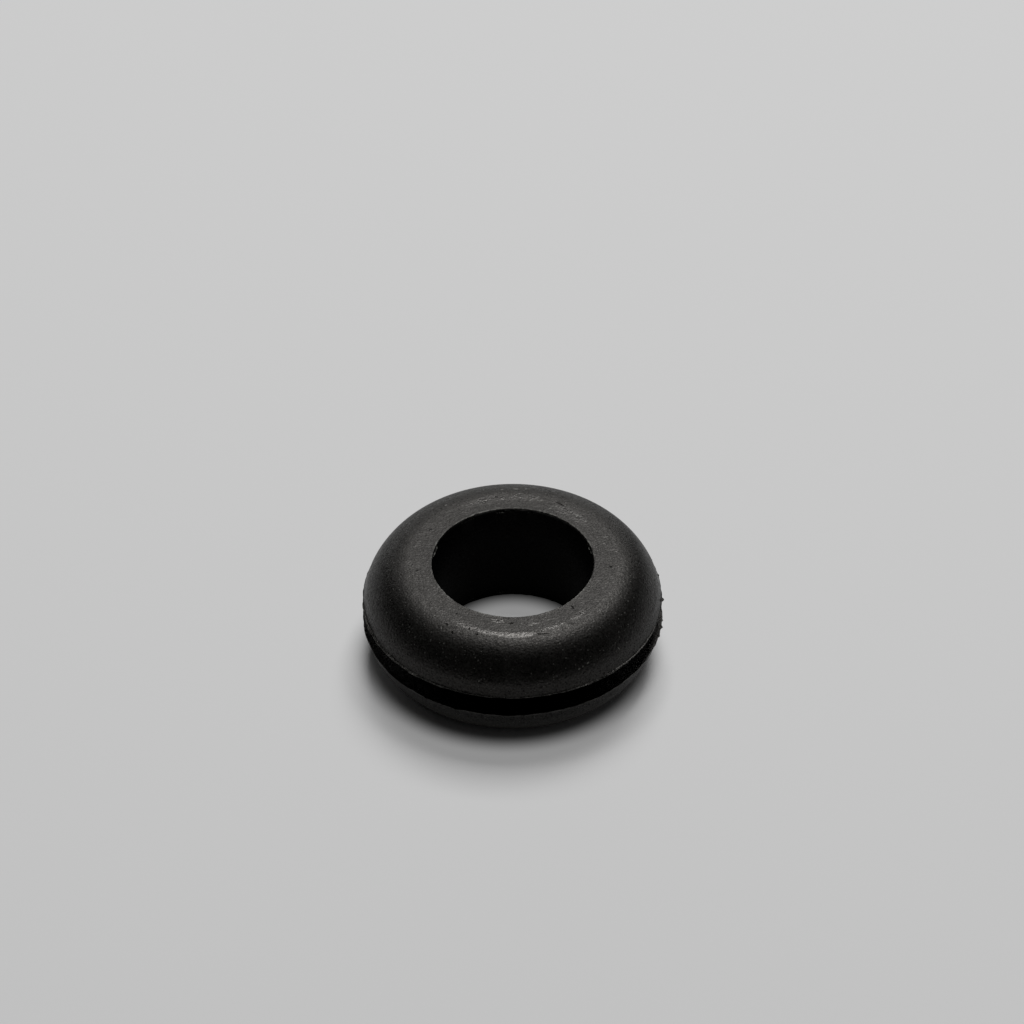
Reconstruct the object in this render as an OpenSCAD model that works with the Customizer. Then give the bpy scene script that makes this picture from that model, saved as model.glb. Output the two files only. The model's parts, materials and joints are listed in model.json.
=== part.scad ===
// Rubber grommet: a moulded ring with a domed flange on each side of a groove.
// The groove grips the edge of a round hole in a panel, and a cable passes through the bore.
// The axis is Z, and the origin is the centre of the groove, where the panel's mid-plane lies.

/* [Overall] */
// Diameter over the flanges, without the moulding flash
flange_d = 22.1; // [19.6:0.1:28]
// Height over both flanges
height = 8.6; // [6:0.1:13]

/* [Bore] */
// Diameter of the hole that the cable passes through
bore_d = 12; // [8:0.1:14]

/* [Groove] */
// Diameter of the groove's floor, which is the diameter of the hole in the panel
groove_d = 16; // [14:0.1:20]
// Width of the groove, which takes the thickness of the panel
groove_w = 1.7; // [0.8:0.1:3.2]

/* [Flange section] */
// Width of the flat ring between the edge of the bore and the domed shoulder
land_w = 1.65; // [0.6:0.05:2.5]
// Angle between the axis and the flange's side, where the side leaves the groove
side_angle = 10; // [2:1:20]
// Angle between the axis and the flange's surface, where its flank turns into its shoulder
turn_angle = 43; // [30:1:60]

/* [Moulding flash] */
// How far the thin fin of flash stands out around each edge of the groove
flash_out = 0.06; // [0.02:0.01:0.3]
// Thickness of the fin
flash_t = 0.08; // [0.04:0.01:0.3]

/* [Hidden] */
$fn = 128;

bore_r = bore_d / 2;
groove_r = groove_d / 2;
flange_r = flange_d / 2;
land_r = bore_r + land_w;
half_h = height / 2;
half_groove = groove_w / 2;

// A flange's outside is two arcs in one smooth curve. The flank arc rises from the edge of the
// groove, and the shoulder arc ends level with the flat ring. Each arc covers a known angle, so
// the width and the height that the two have to span together give both radii.
span_r = flange_r - land_r;
span_z = half_h - half_groove;
flank_dir = [cos(side_angle) - cos(turn_angle), sin(turn_angle) - sin(side_angle)];
shoulder_dir = [cos(turn_angle), 1 - sin(turn_angle)];
det = flank_dir[0] * shoulder_dir[1] - flank_dir[1] * shoulder_dir[0];
flank_r = (span_r * shoulder_dir[1] - span_z * shoulder_dir[0]) / det;
shoulder_r = (flank_dir[0] * span_z - flank_dir[1] * span_r) / det;
flank_centre = [flange_r, half_groove] - flank_r * [cos(side_angle), sin(side_angle)];
shoulder_centre = [land_r, half_h - shoulder_r];

// The shoulder arc is drawn this much fuller, so that it crosses its neighbours at a clear point
// instead of only touching them
arc_overlap = 0.0005;

// What the shoulder arc takes off the corner of the flange
module shoulder_waste() {
    reach = flange_d + height;
    translate(shoulder_centre)
        difference() {
            polygon([[0, 0], reach * [cos(turn_angle), sin(turn_angle)], [0, reach]]);
            circle(shoulder_r + arc_overlap);
        }
}

// Upper half of the section, from the mid-plane of the groove to the flat ring
module half_section() {
    difference() {
        intersection() {
            translate([bore_r, 0]) square([flange_r - bore_r, half_h]);
            translate(flank_centre) circle(flank_r);
        }
        shoulder_waste();
        translate([groove_r, -half_groove]) square([flange_r, groove_w]);
    }
    translate([flange_r - flash_t, half_groove]) square([flash_t + flash_out, flash_t]);
}

module grommet() {
    color("#2c2b2a")
        rotate_extrude() {
            half_section();
            mirror([0, 1]) half_section();
        }
}

grommet();
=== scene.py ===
import json
import math

import bmesh
import bpy
from mathutils import Matrix, Vector, noise


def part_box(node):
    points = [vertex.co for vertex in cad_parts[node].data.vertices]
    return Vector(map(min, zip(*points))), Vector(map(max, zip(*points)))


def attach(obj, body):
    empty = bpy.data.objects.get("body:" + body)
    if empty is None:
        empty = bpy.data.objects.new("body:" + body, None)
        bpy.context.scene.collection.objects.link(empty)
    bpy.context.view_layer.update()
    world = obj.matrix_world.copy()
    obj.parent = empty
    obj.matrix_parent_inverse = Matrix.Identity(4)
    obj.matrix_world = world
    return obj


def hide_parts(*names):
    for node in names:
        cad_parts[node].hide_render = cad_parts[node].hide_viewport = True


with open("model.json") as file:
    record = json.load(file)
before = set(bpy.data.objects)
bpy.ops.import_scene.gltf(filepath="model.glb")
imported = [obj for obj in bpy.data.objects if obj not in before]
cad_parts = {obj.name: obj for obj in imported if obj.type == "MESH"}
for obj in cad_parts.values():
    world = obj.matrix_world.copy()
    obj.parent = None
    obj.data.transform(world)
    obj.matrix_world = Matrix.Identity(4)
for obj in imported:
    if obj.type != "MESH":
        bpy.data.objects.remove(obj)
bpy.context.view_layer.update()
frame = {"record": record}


# THE RING
# One solid moulding of black rubber: a short tube between two domed flanges, with a groove round
# its waist that grips the edge of a panel. It is pressed hot in a stack of mould plates, so its
# faces are plain turned shapes about one upright axis.

MM = 0.001
corner_low, corner_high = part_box("grommet")
sizes = {mount["name"]: mount["dims"] for mount in frame["record"]["mounts"]}
half_height = corner_high.z
bore_radius = sizes["bore"]["r_mm"] * MM
waist_radius = sizes["panel_groove"]["r_mm"] * MM
half_groove = sizes["panel_groove"]["length_mm"] / 2 * MM

# A flange's surface: a flat land round the bore, a tight shoulder, then a slower flank that ends
# in a fin of flash where the mould plates met.
fin_reach = 0.06 * MM
fin_thickness = 0.08 * MM
flange_radius = corner_high.x - fin_reach
land_radius = bore_radius + 1.65 * MM
side_angle = math.radians(10)
turn_angle = math.radians(43)

# The flank and the shoulder are two arcs in one smooth curve. Each covers a known angle, so the
# width and the height that the two have to span together give both radii.
span_out = flange_radius - land_radius
span_up = half_height - half_groove
flank_way = (math.cos(side_angle) - math.cos(turn_angle), math.sin(turn_angle) - math.sin(side_angle))
shoulder_way = (math.cos(turn_angle), 1 - math.sin(turn_angle))
determinant = flank_way[0] * shoulder_way[1] - flank_way[1] * shoulder_way[0]
flank_radius = (span_out * shoulder_way[1] - span_up * shoulder_way[0]) / determinant
shoulder_radius = (flank_way[0] * span_up - flank_way[1] * span_out) / determinant
shoulder_centre = Vector((land_radius, 0, half_height - shoulder_radius))
flank_centre = Vector((
    flange_radius - flank_radius * math.cos(side_angle),
    0,
    half_groove - flank_radius * math.sin(side_angle),
))
# The last millimetre of the side above the fin is straight, like a narrow band. A strip along its
# top keeps that edge crisp.
band_top = half_groove + 0.95 * MM
edge_strip = 0.04 * MM
band_angle = math.asin((band_top - flank_centre.z) / flank_radius)
fin_angle = math.asin((half_groove + fin_thickness - flank_centre.z) / flank_radius)
fin_root = flank_centre.x + flank_radius * math.cos(fin_angle)

# How far each point of the section belongs to the fin, to the lip of the bore and to the shreds of
# flash inside it. The ragged edges and the material both follow these shares.
ring_shape = bmesh.new()
fin_share = ring_shape.verts.layers.float.new("fin")
lip_share = ring_shape.verts.layers.float.new("lip")
curl_share = ring_shape.verts.layers.float.new("curl")


def draw_line(start, x, z, pieces, fin=0.0, lip=0.0, curl=0.0):
    """Draws the section on from a point, in a straight line of so many pieces, and returns its end."""
    step = (Vector((x, 0, z)) - start.co) / pieces
    for piece in range(pieces):
        end = bmesh.ops.extrude_vert_indiv(ring_shape, verts=[start])["verts"][0]
        end.co = start.co + step
        end[fin_share] = 0
        end[lip_share] = 0
        end[curl_share] = 0
        start = end
    start[fin_share] = fin
    start[lip_share] = lip
    start[curl_share] = curl
    return start


def draw_arc(start, centre, angle, pieces):
    """Draws the section on from a point, along an arc about a centre, and returns its end."""
    made = bmesh.ops.spin(
        ring_shape, geom=[start], cent=centre, axis=(0, 1, 0), angle=angle, steps=pieces, use_merge=False
    )
    return [part for part in made["geom_last"] if isinstance(part, bmesh.types.BMVert)][0]


# Up the wall of the bore to the strip where shreds of flash hang, round the lip with its burr, over
# the land and the shoulder, down the flank and the band, round the fin, and into the groove.
point = ring_shape.verts.new((bore_radius, 0, 0))
point = draw_line(point, bore_radius, half_height - 0.38 * MM, 4)
point = draw_line(point, bore_radius, half_height - 0.31 * MM, 1, curl=0.7)
point = draw_line(point, bore_radius, half_height - 0.27 * MM, 1, curl=1)
point = draw_line(point, bore_radius, half_height - 0.23 * MM, 1, curl=0.4)
point = draw_line(point, bore_radius, half_height - 0.15 * MM, 1, lip=0.15)
point = draw_line(point, bore_radius, half_height - 0.07 * MM, 1, lip=0.5)
point = draw_line(point, bore_radius + 0.012 * MM, half_height - 0.02 * MM, 1, lip=1)
point = draw_line(point, bore_radius + 0.05 * MM, half_height, 1, lip=0.9)
point = draw_line(point, bore_radius + 0.11 * MM, half_height, 1, lip=0.3)
point = draw_line(point, bore_radius + 0.19 * MM, half_height, 1)
point = draw_line(point, land_radius, half_height, 6)
point = draw_arc(point, shoulder_centre, math.pi / 2 - turn_angle, 12)
point = draw_arc(point, flank_centre, turn_angle - band_angle, 11)
band_slope = (fin_root - point.co.x) / (point.co.z - half_groove - fin_thickness)
point = draw_line(point, point.co.x + edge_strip * band_slope, point.co.z - edge_strip, 1)
point = draw_line(point, fin_root, half_groove + fin_thickness, 4)
point = draw_line(point, flange_radius + 0.45 * fin_reach, half_groove + 0.90 * fin_thickness, 1, fin=0.55)
point = draw_line(point, flange_radius + fin_reach, half_groove + 0.66 * fin_thickness, 1, fin=1)
point = draw_line(point, flange_radius + fin_reach, half_groove + 0.26 * fin_thickness, 1, fin=1)
point = draw_line(point, flange_radius + 0.3 * fin_reach, half_groove, 1, fin=0.45)
point = draw_line(point, flange_radius - 0.12 * MM, half_groove, 1)
point = draw_line(point, waist_radius, half_groove, 5)
point = draw_line(point, waist_radius, 0, 3)

# The lower half of the section is the mirror image of the upper half.
same_place = 0.0001 * MM
bmesh.ops.mirror(
    ring_shape,
    geom=ring_shape.verts[:] + ring_shape.edges[:],
    matrix=Matrix.Identity(4),
    merge_dist=same_place,
    axis="Z",
)
bmesh.ops.remove_doubles(ring_shape, verts=ring_shape.verts[:], dist=same_place)

# A quarter of the turn is spun, and the other three are its mirror images.
quarter_steps = 180
bmesh.ops.spin(
    ring_shape,
    geom=ring_shape.verts[:] + ring_shape.edges[:],
    cent=(0, 0, 0),
    axis=(0, 0, 1),
    angle=math.pi / 2,
    steps=quarter_steps,
    use_merge=False,
)
for side in ("X", "Y"):
    bmesh.ops.mirror(
        ring_shape,
        geom=ring_shape.verts[:] + ring_shape.edges[:] + ring_shape.faces[:],
        matrix=Matrix.Identity(4),
        merge_dist=10 * same_place,
        axis=side,
    )
bmesh.ops.remove_doubles(ring_shape, verts=ring_shape.verts[:], dist=same_place)
bmesh.ops.recalc_face_normals(ring_shape, faces=ring_shape.faces[:])
for face in ring_shape.faces:
    face.smooth = True

# The flash is torn off by hand after moulding, which leaves a ragged fin on each edge of the
# groove and a low burr round each end of the bore.


def waver(azimuth, waves, seed):
    """Returns a smooth number from about -1 to 1 that changes so many times round the ring."""
    turn = Vector((math.cos(azimuth), math.sin(azimuth), 0)) * waves / math.tau
    return 1.6 * noise.noise(turn + Vector((seed, 2.7 * seed, 5.3)))


# Where the fin was torn off further out: degrees round from the right, half width in degrees, and
# length beyond the rest of the fin. Then the single tags that stick out from it, in the same way.
upper_swells = ((214, 34, 0.13 * MM), (262, 40, 0.06 * MM), (314, 30, 0.08 * MM), (178, 24, 0.02 * MM))
lower_swells = ((352, 16, 0.05 * MM), (240, 34, 0.05 * MM), (190, 20, 0.03 * MM))
upper_tags = ((357.8, 1.2, 0.17 * MM), (12, 0.7, 0.07 * MM), (21, 0.6, 0.08 * MM), (243, 1.0, 0.05 * MM))
lower_tags = (
    (235.1, 1.0, 0.10 * MM),
    (247.9, 1.3, 0.12 * MM),
    (352, 0.9, 0.10 * MM),
    (356, 0.7, 0.09 * MM),
    (347, 0.8, 0.07 * MM),
)

# Where shreds of flash still hang inside the top of the bore: degrees round from the right, half
# width in degrees, and how thickly.
curls = ((172, 24, 1.0), (90, 22, 0.8), (16, 16, 0.9), (120, 12, 0.4))


def degrees_apart(azimuth, place):
    """Returns how far an azimuth is from a place that is given in degrees, from 0 to 180."""
    return abs((math.degrees(azimuth) - place + 180) % 360 - 180)


def fin_growth(azimuth, upper):
    """Returns how much further the fin reaches there than its even width."""
    seed = 11 if upper else 37
    long_waves = 0.018 * MM * waver(azimuth, 40, seed + 1)
    short_waves = 0.022 * MM * waver(azimuth, 150, seed + 2)
    trim = 0.04 * MM
    growth = long_waves + short_waves - trim
    for place, half_width, length in upper_swells if upper else lower_swells:
        away = degrees_apart(azimuth, place) / half_width
        growth += length * max(0, 1 - away * away) * (1 + 0.35 * waver(azimuth, 190, seed + 3))
    for place, half_width, length in upper_tags if upper else lower_tags:
        away = degrees_apart(azimuth, place) / half_width
        if away < 1:
            growth += length * (1 - away) ** 0.8
    return growth


# The whole moulding is a little out of true: the flanges and the bore are not quite round, and sit
# a little to either side of the axis.
flange_wobble = 0.012 * MM
bore_wobble = 0.008 * MM
bore_shift = 0.03 * MM
flange_shift = -0.02 * MM
# How far the fin waves up and down, and how far the burr and the shreds stand out where they are
# fullest.
fin_lift = 0.03 * MM
burr_height = 0.035 * MM
upper_burr = 0.02 * MM
lower_burr = 0.05 * MM
curl_length = 0.12 * MM

for vert in ring_shape.verts:
    azimuth = math.atan2(vert.co.y, vert.co.x)
    radius = math.hypot(vert.co.x, vert.co.y)
    upper = vert.co.z > 0
    rise = 0
    looseness = (radius - bore_radius) / (flange_radius - bore_radius)
    outward = flange_wobble * waver(azimuth, 5, 3) * looseness + bore_wobble * waver(azimuth, 11, 5)
    if vert[fin_share] > 0:
        outward += vert[fin_share] * fin_growth(azimuth, upper)
        rise += vert[fin_share] * fin_lift * waver(azimuth, 26, 17 if upper else 23)
    if vert[lip_share] > 0:
        burr = 0.35 + 0.5 * waver(azimuth, 14, 41 if upper else 43) + 0.5 * waver(azimuth, 90, 47)
        burr = max(0, burr)
        # The lower end lies flat on the table, so its burr turns only inward.
        if upper:
            rise += vert[lip_share] * burr_height * burr
        outward -= vert[lip_share] * (upper_burr if upper else lower_burr) * burr
        vert[lip_share] *= min(1, burr)
    if vert[curl_share] > 0:
        curled = waver(azimuth, 75, 61) - 0.45
        for middle, half_width, thickness in curls if upper else ():
            curled += thickness * max(0, 1 - degrees_apart(azimuth, middle) / half_width)
        curled = min(1, max(0, curled))
        outward -= vert[curl_share] * curl_length * curled
        vert[curl_share] *= curled ** 0.5
    scale = (radius + outward) / radius
    vert.co.x *= scale
    vert.co.y *= scale
    vert.co.x += bore_shift + (flange_shift - bore_shift) * looseness
    vert.co.z += rise

ring_mesh = bpy.data.meshes.new("ring")
ring_shape.to_mesh(ring_mesh)
ring_shape.free()
crease_angle = math.radians(38)
ring_mesh.set_sharp_from_angle(angle=crease_angle)
ring = bpy.data.objects.new("ring", ring_mesh)
bpy.context.scene.collection.objects.link(ring)
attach(ring, "root")
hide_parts("grommet")

# THE RUBBER
# Black rubber filled with carbon, as it leaves the mould: satin, with the fine grain of the mould
# plates in it. It carries light dust and lint, a few pits, nicks and hairline scratches, and places
# on its upper face, at the front and at the back, that handling has rubbed smoother.


class Shade:
    """One output of a shader node. Arithmetic on it adds Math nodes."""

    def __init__(self, tree, socket):
        self.tree = tree
        self.socket = socket

    def node(self, kind, settings, sockets, output=0):
        """Adds a node. Its settings are set first, then the values or links of its sockets."""
        made = self.tree.nodes.new(kind)
        for name, value in settings.items():
            setattr(made, name, value)
        for name, value in sockets.items():
            if isinstance(value, Shade):
                self.tree.links.new(value.socket, made.inputs[name])
            else:
                made.inputs[name].default_value = value
        return Shade(self.tree, made.outputs[output])

    def other(self, output):
        """Returns another output of the same node."""
        return Shade(self.tree, self.socket.node.outputs[output])

    def maths(self, operation, *values):
        """Adds a Math node on these values."""
        return self.node("ShaderNodeMath", {"operation": operation}, dict(enumerate(values)))

    def __add__(self, value):
        return self.maths("ADD", self, value)

    def __radd__(self, value):
        return self.maths("ADD", value, self)

    def __sub__(self, value):
        return self.maths("SUBTRACT", self, value)

    def __rsub__(self, value):
        return self.maths("SUBTRACT", value, self)

    def __mul__(self, value):
        return self.maths("MULTIPLY", self, value)

    def __truediv__(self, value):
        return self.maths("DIVIDE", self, value)

    def __pow__(self, value):
        return self.maths("POWER", self, value)

    def size(self):
        """Returns the value without its sign."""
        return self.maths("ABSOLUTE", self)

    def larger(self, value):
        """Returns this or the other value, whichever is larger."""
        return self.maths("MAXIMUM", self, value)

    def fade(self, start, end):
        """Returns 0 up to start and 1 from end on, changing smoothly. End may be below start."""
        falls = end < start
        limits = {
            "Value": self,
            "From Min": min(start, end),
            "From Max": max(start, end),
            "To Min": 1.0 if falls else 0.0,
            "To Max": 0.0 if falls else 1.0,
        }
        return self.node("ShaderNodeMapRange", {"interpolation_type": "SMOOTHSTEP"}, limits)

    def cloud(self, lump, detail, roughness=0.5):
        """Returns soft noise about 0.5, whose lumps are so many metres across."""
        sockets = {"Vector": self, "Scale": 1 / lump, "Detail": detail, "Roughness": roughness}
        return self.node("ShaderNodeTexNoise", {"noise_dimensions": "3D"}, sockets)

    def spots(self, spacing, radius, share):
        """Returns 1 in the middle of round spots, of which only a share of the places holds one."""
        sockets = {"Vector": self, "Scale": 1 / spacing}
        away = self.node("ShaderNodeTexVoronoi", {"feature": "F1"}, sockets, "Distance")
        chance = self.node("ShaderNodeSeparateColor", {}, {"Color": away.other("Color")})
        reach = chance.fade(1 - share, 1) * (radius / spacing)
        return (reach - away).fade(0, 0.5 * radius / spacing)


rubber = bpy.data.materials.new("rubber")
rubber.use_nodes = True
tree = rubber.node_tree
place = Shade(tree, tree.nodes.new("ShaderNodeTexCoord").outputs["Object"])
across = place.node("ShaderNodeSeparateXYZ", {}, {"Vector": place})
back = across.other("Y")
up = across.other("Z")
out = (across * across + back * back) ** 0.5
top = up.fade(half_height - 0.9 * MM, half_height - 0.2 * MM)

# The unevenness of the skin, from the broadest to the finest.
blotches = place.cloud(1.6 * MM, 3)
mottle = place.cloud(0.34 * MM, 1)
flake = place.cloud(0.20 * MM, 1, 0.6)
grain = place.cloud(0.16 * MM, 0)
pores = place.cloud(0.12 * MM, 1, 0.6)
speckle = place.cloud(0.09 * MM, 1)

# The plates were turned on a lathe, which left faint rings round the axis: the same kind of noise,
# drawn out round the axis and slanted a little down the flank.
slant = 0.8
stretch = 0.12
ringwise = {"X": out - up * slant, "Y": across * stretch, "Z": back * stretch}
turned = place.node("ShaderNodeCombineXYZ", {}, ringwise).cloud(0.10 * MM, 1)

# Handling has rubbed the upper land smoother in places, at the front and at the back: the middle of
# each place across and out from the axis, and its half length and half width, all in millimetres.
front_places = (
    (0.2, 7.97, 1.75, 0.29),
    (-1.6, 7.88, 1.3, 0.22),
    (-3.3, 7.75, 1.0, 0.24),
    (2.9, 7.75, 1.1, 0.16),
    (-1.1, 6.55, 0.6, 0.20),
    (1.6, 7.0, 0.5, 0.20),
    (4.8, 7.6, 0.6, 0.25),
)
back_places = (
    (-1.8, 7.20, 1.9, 0.44),
    (0.9, 7.30, 1.4, 0.38),
    (4.4, 6.95, 1.2, 0.46),
)


def worn_at(places):
    """Returns 1 in the middle of oval places, fading to 0 at their edges."""
    worn = 0.0
    for middle_x, middle_out, half_length, half_width in places:
        along = (across - middle_x * MM) / (half_length * MM)
        aside = (out - middle_out * MM) / (half_width * MM)
        worn = (along * along + aside * aside).fade(1.6, 0.1).larger(worn)
    return worn


middle_blend = 2 * MM
worn_front = worn_at(front_places) * back.fade(0, -middle_blend) * top
worn_back = worn_at(back_places) * back.fade(0, middle_blend) * top
rubbed = (worn_front + worn_back * 0.5 + (flake - 0.5) * 1.2).fade(0.50, 0.66) * top
rubbed = rubbed + worn_front * 0.3 + worn_back * 0.8

dust = place.spots(0.23 * MM, 0.070 * MM, 0.75)
lint = place.spots(0.7 * MM, 0.09 * MM, 0.5)


def spots_at(places):
    """Returns 1 on small oval spots of the upper flange. Each has its middle across and back, its
    direction in degrees, its half length and its half width, with the lengths in millimetres."""
    found = 0.0
    for middle_x, middle_y, direction, half_length, half_width in places:
        turn = math.radians(direction)
        right = across - middle_x * MM
        behind = back - middle_y * MM
        along = (right * math.cos(turn) + behind * math.sin(turn)) / (half_length * MM)
        aside = (behind * math.cos(turn) - right * math.sin(turn)) / (half_width * MM)
        found = (along * along + aside * aside).fade(1.5, 0.3).larger(found)
    return found * up.fade(half_groove, half_groove + 0.3 * MM)


# Small pits left by trapped air, and a few short cuts.
pitted = spots_at((
    (-0.09, -6.70, 25, 0.17, 0.10),
    (-4.83, -6.71, 120, 0.12, 0.09),
    (-3.18, -7.24, 80, 0.10, 0.07),
    (-2.62, -7.84, 10, 0.10, 0.08),
    (-7.02, -0.83, 30, 0.11, 0.08),
    (7.27, -0.57, 100, 0.12, 0.08),
    (4.42, -4.99, 115, 0.22, 0.06),
    (2.2, -7.82, 3, 0.50, 0.05),
    (3.60, 6.45, 142, 0.42, 0.06),
    (-4.45, -7.47, 100, 0.12, 0.08),
    (-6.05, 3.67, 40, 0.16, 0.06),
    (-4.1, -5.6, 60, 0.10, 0.06),
))

# Pale nicks and scuffs.
nicked = spots_at((
    (0.29, 8.26, 0, 0.22, 0.09),
    (1.05, 8.28, 60, 0.09, 0.07),
    (-0.75, 8.19, 0, 0.10, 0.06),
    (1.46, 7.00, 40, 0.20, 0.05),
    (1.90, 7.23, 35, 0.18, 0.05),
    (2.20, 6.88, 0, 0.08, 0.06),
    (2.85, 5.98, 20, 0.12, 0.05),
    (3.30, 6.21, 0, 0.09, 0.07),
    (4.85, 5.20, 0, 0.11, 0.09),
    (6.99, 2.75, 10, 0.16, 0.06),
    (5.44, 4.52, 70, 0.10, 0.06),
    (-4.91, 6.46, 20, 0.10, 0.07),
    (-1.07, 6.06, 0, 0.20, 0.04),
    (4.85, -9.42, 30, 0.09, 0.03),
    (5.12, -9.24, 35, 0.07, 0.03),
    (5.50, -8.95, 40, 0.12, 0.03),
    (7.78, -7.19, 0, 0.06, 0.03),
    (-2.50, -10.42, 0, 0.06, 0.03),
))

# Hairline scratches on the upper flange, each a little bent: its middle across and back, its
# direction in degrees, and its length, with the lengths in millimetres.
scratch_bend = 60
scratches = (
    (3.5, 8.9, 62, 1.3),
    (4.4, 0.5, 118, 0.9),
    (2.3, -7.9, 12, 0.9),
    (-6.0, -6.3, 80, 1.6),
    (-5.2, -6.9, 96, 1.2),
    (-7.6, 3.4, 35, 1.4),
    (7.3, 4.6, 150, 1.1),
    (-1.9, 8.2, 170, 1.5),
    (6.1, -5.4, 50, 0.8),
    (-8.6, -2.2, 130, 1.0),
)
scored = 0.0
for middle_x, middle_y, direction, length in scratches:
    turn = math.radians(direction)
    right = across - middle_x * MM
    behind = back - middle_y * MM
    along = right * math.cos(turn) + behind * math.sin(turn)
    aside = behind * math.cos(turn) - right * math.sin(turn) + along * along * scratch_bend
    hairline = aside.size().fade(0.045 * MM, 0.01 * MM)
    hairline = hairline * along.size().fade(0.5 * length * MM, 0.3 * length * MM)
    scored = hairline + scored
scored = scored * top

fin_edge = place.node("ShaderNodeAttribute", {"attribute_name": "fin"}, {}, "Fac")
curl_edge = place.node("ShaderNodeAttribute", {"attribute_name": "curl"}, {}, "Fac")
lip_edge = place.node("ShaderNodeAttribute", {"attribute_name": "lip"}, {}, "Fac")
# How pale the torn edges are: partly the whitened rubber of the flash, partly a painted highlight.
thin_edge_and_highlight = fin_edge * 0.3 + lip_edge * 1.4 + curl_edge * 1.3
bore_wall = out.fade(bore_radius + 0.25 * MM, bore_radius + 0.05 * MM)
bore_wall = bore_wall * up.fade(half_height, half_height - 0.3 * MM)

# The rubber and the faint grey bloom on it; painted shade that blackens the wall of the bore;
# painted light that greys the skin low on the lower flange, standing in for light bounced up from
# the table; dust; and the pale edge of the torn flash, partly its own whitened rubber and partly a
# painted highlight.
dark = (0.0022, 0.0021, 0.0018, 1)
bloom = (0.0048, 0.0046, 0.0041, 1)
painted_bore_shade = (0.0004, 0.0004, 0.0004, 1)
painted_bounce_grey = (0.022, 0.0215, 0.0195, 1)
specks = (0.13, 0.13, 0.12, 1)
torn_pale_and_highlight = (0.19, 0.19, 0.175, 1)


def tinted(under, over, share):
    """Returns a colour with so large a share of another over it."""
    # A Mix node's colours are its sockets 6 and 7, and its mixed colour is its output 2.
    return place.node("ShaderNodeMix", {"data_type": "RGBA"}, {0: share, 6: under, 7: over}, 2)


# How strongly each of these shows as pale dust.
dusty = (dust * 0.55 + lint * 0.5 + nicked) * (1 - bore_wall)
dusty = dusty + scored * 0.06 + pores.fade(0.5, 0.85) * 0.12
colour = tinted(dark, bloom, blotches.fade(0.35, 0.7))
# Painted shade: the wall of the bore is made blacker than the rubber itself.
colour = tinted(colour, painted_bore_shade, bore_wall * 0.7)
# Painted light: the skin low on the lower flange is made greyer, to stand in for light bounced up from the
# table.
painted_bounce_share = up.fade(2.9 * MM - half_height, 1.1 * MM - half_height) * (1 - bore_wall)
colour = tinted(colour, painted_bounce_grey, painted_bounce_share)
# The pale torn edge: partly its own whitened rubber, partly a painted highlight on the fin, the lip of the
# bore and the shreds inside it.
colour = tinted(colour, torn_pale_and_highlight, thin_edge_and_highlight * (0.15 + mottle.fade(0.42, 0.60) * 0.9))
colour = tinted(colour, specks, dusty)

# The flank comes off a smoother part of the plate than the land does, and the narrow band above
# the fin off the smoothest.
land_roughness = 0.53
flank = up.fade(half_height - 0.1 * MM, half_height - 1.8 * MM)
band = up.fade(band_top + 0.12 * MM, band_top - 0.06 * MM) * up.fade(0, half_groove)
roughness = land_roughness - flank * 0.12 - band * 0.05 - rubbed * 0.15 + dust * 0.2 + thin_edge_and_highlight * 0.1
roughness = roughness + (blotches - 0.5) * 0.10 + (mottle - 0.5) * 0.18 + (turned - 0.5) * 0.20
roughness = roughness + (speckle - 0.5) * 0.5

# How far each of these stands up from the skin, or how deep it goes.
mottle_depth = 0.018 * MM
grain_depth = 0.019 * MM
turning_depth = 0.006 * MM
dust_depth = 0.008 * MM
pit_depth = 0.024 * MM
scratch_depth = 0.005 * MM
height = mottle * mottle_depth + grain * grain_depth + turned * turning_depth
height = height + dust * dust_depth + lint * dust_depth
height = height - pitted * pit_depth - scored * scratch_depth
relief = place.node("ShaderNodeBump", {}, {"Height": height, "Strength": 1.0, "Distance": 1.0})

# The bore and the groove come off unpolished steel, and hardly shine. The flanks of both flanges,
# the fins and the pores shine less than the land, and the places rubbed at the back shine fully.
groove = up.size().fade(half_groove + 0.03 * MM, half_groove - 0.02 * MM)
groove = groove * out.fade(flange_radius - 0.5 * MM, flange_radius - 1.4 * MM)
lower_flank = up.fade(-half_groove, -half_groove - 0.3 * MM)
lower_flank = lower_flank * up.fade(0.7 * MM - half_height, 2.4 * MM - half_height)
flange_side = up.fade(half_height - 0.05 * MM, half_height - 0.7 * MM)
duller = flange_side * 0.26 + band * 0.12 + lower_flank * 0.44 + fin_edge * 0.4
duller = (duller + pores.fade(0.5, 0.25) * 0.55) * (1 - worn_back)
dull = bore_wall.larger(groove).larger(pitted * 0.8).larger(duller)

skin = tree.nodes["Principled BSDF"]
dull_skin = tree.nodes.new("ShaderNodeBsdfPrincipled")
dull_skin.inputs["Specular IOR Level"].default_value = 0.02
for surface in (skin, dull_skin):
    surface.inputs["Specular Tint"].default_value = (1, 0.957, 0.908, 1)
    tree.links.new(colour.socket, surface.inputs["Base Color"])
    tree.links.new(roughness.socket, surface.inputs["Roughness"])
    tree.links.new(relief.socket, surface.inputs["Normal"])
skins = {0: dull, 1: Shade(tree, skin.outputs[0]), 2: Shade(tree, dull_skin.outputs[0])}
mixed_skin = place.node("ShaderNodeMixShader", {}, skins)
tree.links.new(mixed_skin.socket, tree.nodes["Material Output"].inputs["Surface"])
ring_mesh.materials.append(rubber)

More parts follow.
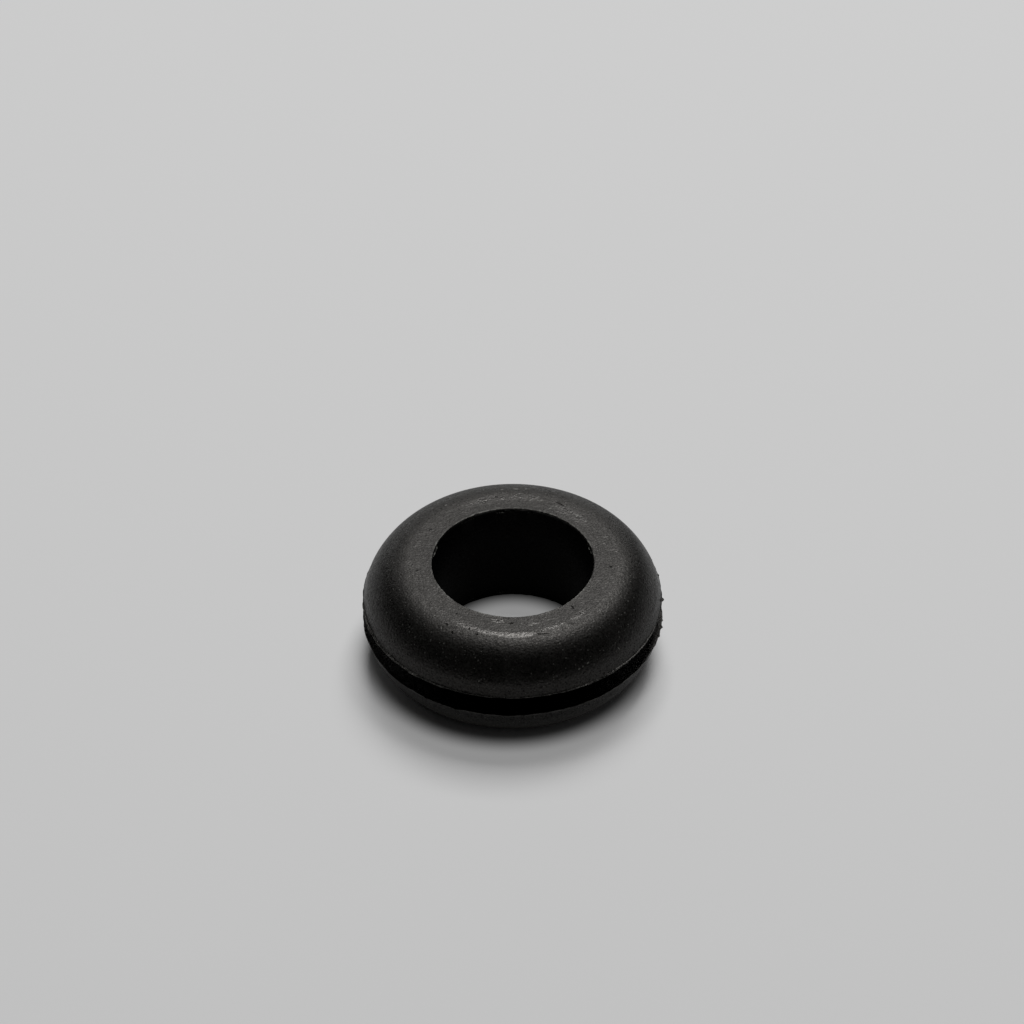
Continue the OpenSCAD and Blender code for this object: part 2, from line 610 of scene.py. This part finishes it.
# THE TABLE
# A wide sheet of pale matt board that the ring lies on. A painted glow lightens the ring's shadow
# on it, so that the shadow stays deep only at the ring's foot, and is lightened further out and in
# the middle of the bore.
half_board = 1.5
board_shape = bmesh.new()
bmesh.ops.create_grid(board_shape, x_segments=1, y_segments=1, size=half_board)
bmesh.ops.translate(board_shape, verts=board_shape.verts[:], vec=(0, 0, corner_low.z))
board_mesh = bpy.data.meshes.new("board")
board_shape.to_mesh(board_mesh)
board_shape.free()
board = bpy.data.objects.new("board", board_mesh)
bpy.context.scene.collection.objects.link(board)

card = bpy.data.materials.new("pale_card")
card.use_nodes = True
card_tree = card.node_tree
card_face = card_tree.nodes["Principled BSDF"]
card_face.inputs["Base Color"].default_value = (0.88, 0.88, 0.88, 1)
card_face.inputs["Roughness"].default_value = 0.7
# The painted glow shows only to camera, glossy and transmission rays, and lights nothing else.
rays = Shade(card_tree, card_tree.nodes.new("ShaderNodeLightPath").outputs["Is Camera Ray"])
seen = rays.larger(rays.other("Is Glossy Ray")).larger(rays.other("Is Transmission Ray"))

on_card = Shade(card_tree, card_tree.nodes.new("ShaderNodeTexCoord").outputs["Object"])
card_x = on_card.node("ShaderNodeSeparateXYZ", {}, {"Vector": on_card})
card_y = card_x.other("Y")
from_hole = (card_x * card_x + card_y * card_y) ** 0.5
# The patch that the painted glow leaves dark, a painted shadow, lies a little to the left of the
# ring's axis and behind it.
shadow_x = card_x + 0.35 * MM
shadow_y = card_y - 0.5 * MM
from_shadow = (shadow_x * shadow_x + shadow_y * shadow_y) ** 0.5
# Painted light: the glow lifts the shadow beyond the ring's foot and under the middle of the bore.
painted_shadow_lift = from_shadow.fade(10.0 * MM, 12.2 * MM) + from_hole.fade(6.4 * MM, 4.3 * MM)
painted_shadow_lift = painted_shadow_lift + from_shadow.fade(8.8 * MM, 10.2 * MM) * 0.027
painted_lift_share = 0.46
painted_glow = on_card.node("ShaderNodeEmission", {}, {"Color": (0.58, 0.58, 0.58, 1), "Strength": 1.0})
faces = {0: seen * painted_shadow_lift * painted_lift_share, 1: Shade(card_tree, card_face.outputs[0]), 2: painted_glow}
mixed_face = on_card.node("ShaderNodeMixShader", {}, faces)
card_tree.links.new(mixed_face.socket, card_tree.nodes["Material Output"].inputs["Surface"])
board_mesh.materials.append(card)

# THE LIGHTS
# Two plain white softboxes, both behind the ring: a square one high up, which lights the top, and
# a long low one, which lights the rims. The room round them is dark.


def hang_softbox(name, azimuth, elevation, distance, width, depth, level):
    """Hangs a softbox that faces the ring. Its direction from the ring is in degrees, and its distance
    and size are in metres. Level is how bright its face looks, where 1 is plain white."""
    box = bpy.data.lights.new(name, "AREA")
    box.shape = "RECTANGLE"
    box.size = width
    box.size_y = depth
    box.energy = level * math.pi * width * depth
    lamp = bpy.data.objects.new(name, box)
    away = Vector((
        math.cos(math.radians(elevation)) * math.cos(math.radians(azimuth)),
        math.cos(math.radians(elevation)) * math.sin(math.radians(azimuth)),
        math.sin(math.radians(elevation)),
    ))
    lamp.location = away * distance
    lamp.rotation_euler = away.to_track_quat("Z", "Y").to_euler()
    bpy.context.scene.collection.objects.link(lamp)


hang_softbox("key_softbox", azimuth=78, elevation=62, distance=0.5, width=0.24, depth=0.24, level=10.0)
hang_softbox("low_softbox", azimuth=97, elevation=5, distance=0.5, width=0.6, depth=0.08, level=2.2)
room = bpy.data.worlds.new("room")
bpy.context.scene.world = room
room.use_nodes = True
room.node_tree.nodes["Background"].inputs["Color"].default_value = (0, 0, 0, 1)
bpy.context.scene.view_settings.view_transform = "Standard"

# THE CAMERA
# A long lens, some way off and high up in front of the ring. It is turned a little about its own
# axis, and aimed above the ring's middle, so that the ring sits a little low in the frame.
camera = bpy.data.cameras.new("camera")
camera.lens = 351.6
camera.sensor_width = 36
camera.clip_start = 0.05
camera.clip_end = 10
stand = bpy.data.objects.new("camera", camera)
bpy.context.scene.collection.objects.link(stand)
view_elevation = math.radians(42.1)
view_distance = 0.7413
view_roll = math.radians(-0.35)
frame_drop = math.atan(0.00935)
stand.location.y = -view_distance * math.cos(view_elevation)
stand.location.z = view_distance * math.sin(view_elevation)
tilt = Matrix.Rotation(math.pi / 2 - (view_elevation - frame_drop), 3, "X")
roll = Matrix.Rotation(view_roll, 3, "Z")
stand.rotation_euler = (tilt @ roll).to_euler()
bpy.context.scene.camera = stand
